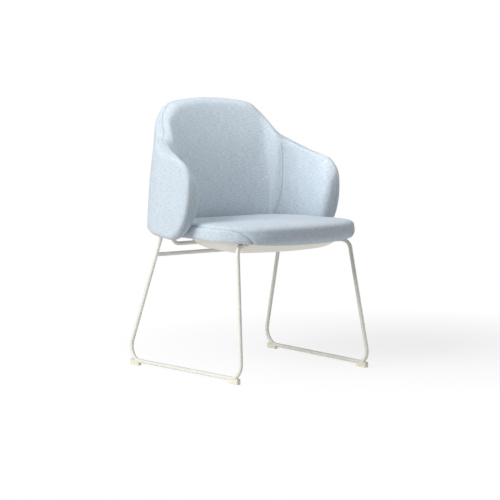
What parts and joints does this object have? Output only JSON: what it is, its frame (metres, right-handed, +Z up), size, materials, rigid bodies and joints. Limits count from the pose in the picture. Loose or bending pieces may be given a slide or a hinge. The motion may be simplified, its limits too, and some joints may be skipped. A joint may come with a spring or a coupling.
{
  "type": "guest chair",
  "caption": "Upholstered tub chair whose wraparound back and arms stand over a round-cornered seat cushion, on a bent steel rod sled frame with floor glides.",
  "frame": {"origin": "on the floor, below the middle of the chair's bounding box", "axes": "+Z up, -Y the way the sitter faces, +X the sitter's left"},
  "size_m": [0.6102, 0.5418, 0.8193],
  "materials": {
    "powder_coated_steel": "fine matt powder coat",
    "glide_plastic": "natural moulded nylon",
    "socket_plastic": "moulded glass-filled nylon",
    "zinc_steel": "zinc plated",
    "melange_fabric": "woven wool melange over foam",
    "pan_plastic": "moulded polypropylene, fine grain",
    "plywood": "moulded birch plywood, unfinished"
  },
  "bodies": {
    "root": {"left_sled_rod": "powder_coated_steel", "right_sled_rod": "powder_coated_steel", "rear_cross_bar": "powder_coated_steel", "back_loop": "powder_coated_steel", "left_seat_plate": "powder_coated_steel", "right_seat_plate": "powder_coated_steel", "front_left_glide": "glide_plastic", "front_right_glide": "glide_plastic", "rear_left_glide": "glide_plastic", "rear_right_glide": "glide_plastic", "left_leg_socket": "socket_plastic", "right_leg_socket": "socket_plastic", "left_loop_socket": "socket_plastic", "right_loop_socket": "socket_plastic", "seat_screws": "zinc_steel", "tee_nuts": "zinc_steel", "pan_screws": "zinc_steel", "socket_screws": "zinc_steel", "back_pad": "melange_fabric", "left_arm_pad": "melange_fabric", "right_arm_pad": "melange_fabric", "outer_cover": "melange_fabric", "seat_cushion": "melange_fabric", "seat_pan": "pan_plastic", "seat_board": "plywood", "back_shell": "plywood"}
  },
  "joints": []
}
